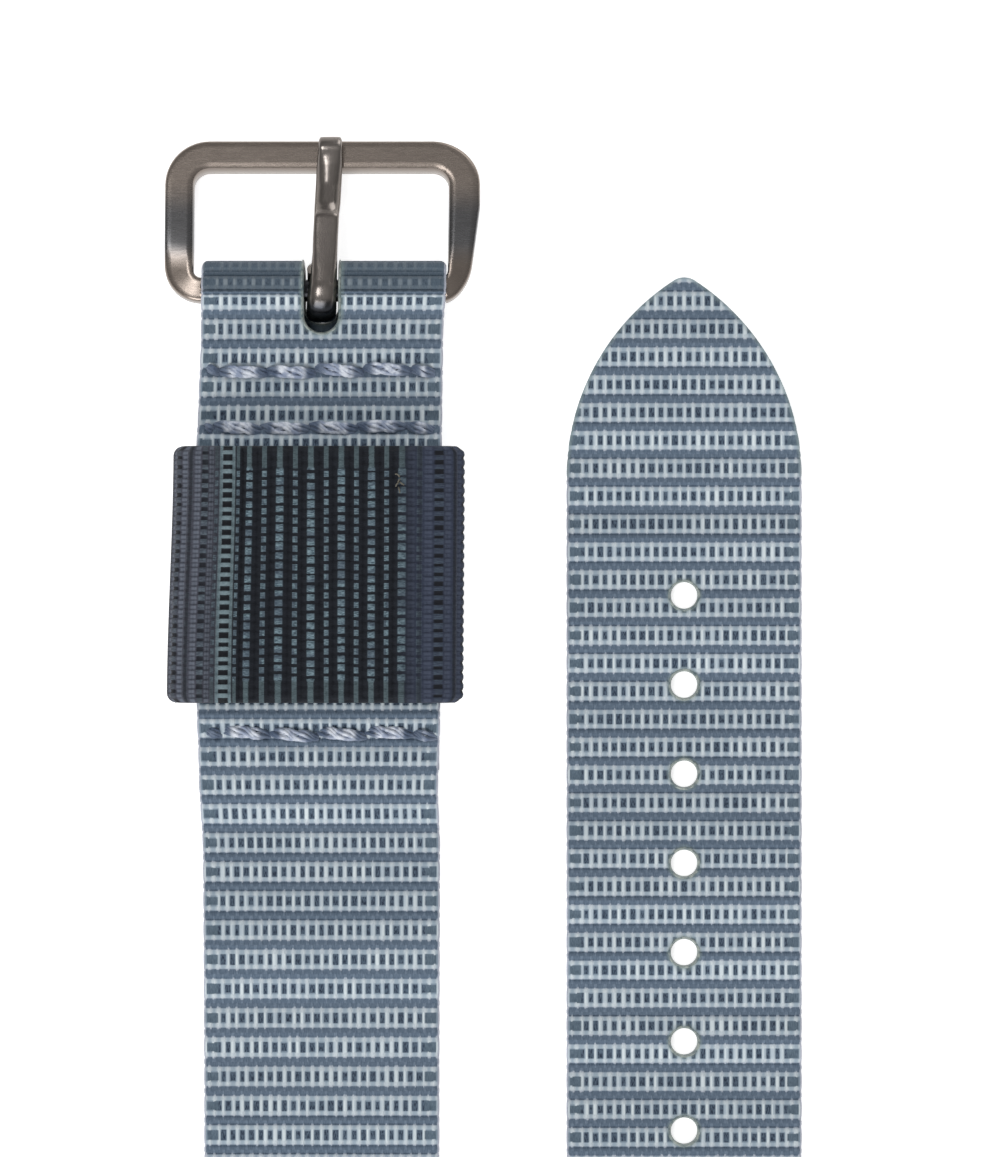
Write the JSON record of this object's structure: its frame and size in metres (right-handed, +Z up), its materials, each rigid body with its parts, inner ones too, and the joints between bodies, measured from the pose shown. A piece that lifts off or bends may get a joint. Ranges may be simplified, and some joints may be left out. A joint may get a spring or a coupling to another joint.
{
  "type": "single pass watch strap",
  "caption": "Woven single pass watch strap folded and sewn round a hinged buckle frame and tongue, with a wide keeper loop and a pointed, holed tail.",
  "frame": {"origin": "centre of the bounding box at the plane that the strap lies on", "axes": "+Y points from the bend towards the buckle and the tip, +X towards the tail, +Z up from the plane that the strap lies on"},
  "size_m": [0.0486, 0.1366, 0.018],
  "materials": {
    "grey_blue_webbing": "ribbed woven nylon",
    "navy_webbing": "ribbed woven nylon",
    "brushed_nickel": "brushed",
    "satin_nickel": "satin",
    "grey_blue_thread": "twisted thread"
  },
  "bodies": {
    "strap": {"strap_webbing": "grey_blue_webbing", "needle_thread_row_1": "grey_blue_thread", "needle_thread_row_2": "grey_blue_thread", "needle_thread_row_3": "grey_blue_thread", "bobbin_thread_row_1": "grey_blue_thread", "bobbin_thread_row_2": "grey_blue_thread", "bobbin_thread_row_3": "grey_blue_thread"},
    "keeper": {"keeper_webbing": "navy_webbing"},
    "buckle": {"buckle_frame": "brushed_nickel"},
    "tongue": {"buckle_tongue": "satin_nickel"}
  },
  "joints": [
    {"name": "keeper_slide", "type": "slide", "parent": "strap", "child": "keeper", "axis": [0, 1, 0], "range_m": [-0.001, 0]},
    {"name": "buckle_hinge", "type": "hinge", "parent": "strap", "child": "buckle", "pos_m": [-0.0124, 0.05672, 0.00295], "axis": [1, 0, 0], "range_deg": [-80, 35]},
    {"name": "tongue_hinge", "type": "hinge", "parent": "buckle", "child": "tongue", "pos_m": [-0.0124, 0.05672, 0.00295], "axis": [1, 0, 0], "range_deg": [0, 80]}
  ]
}
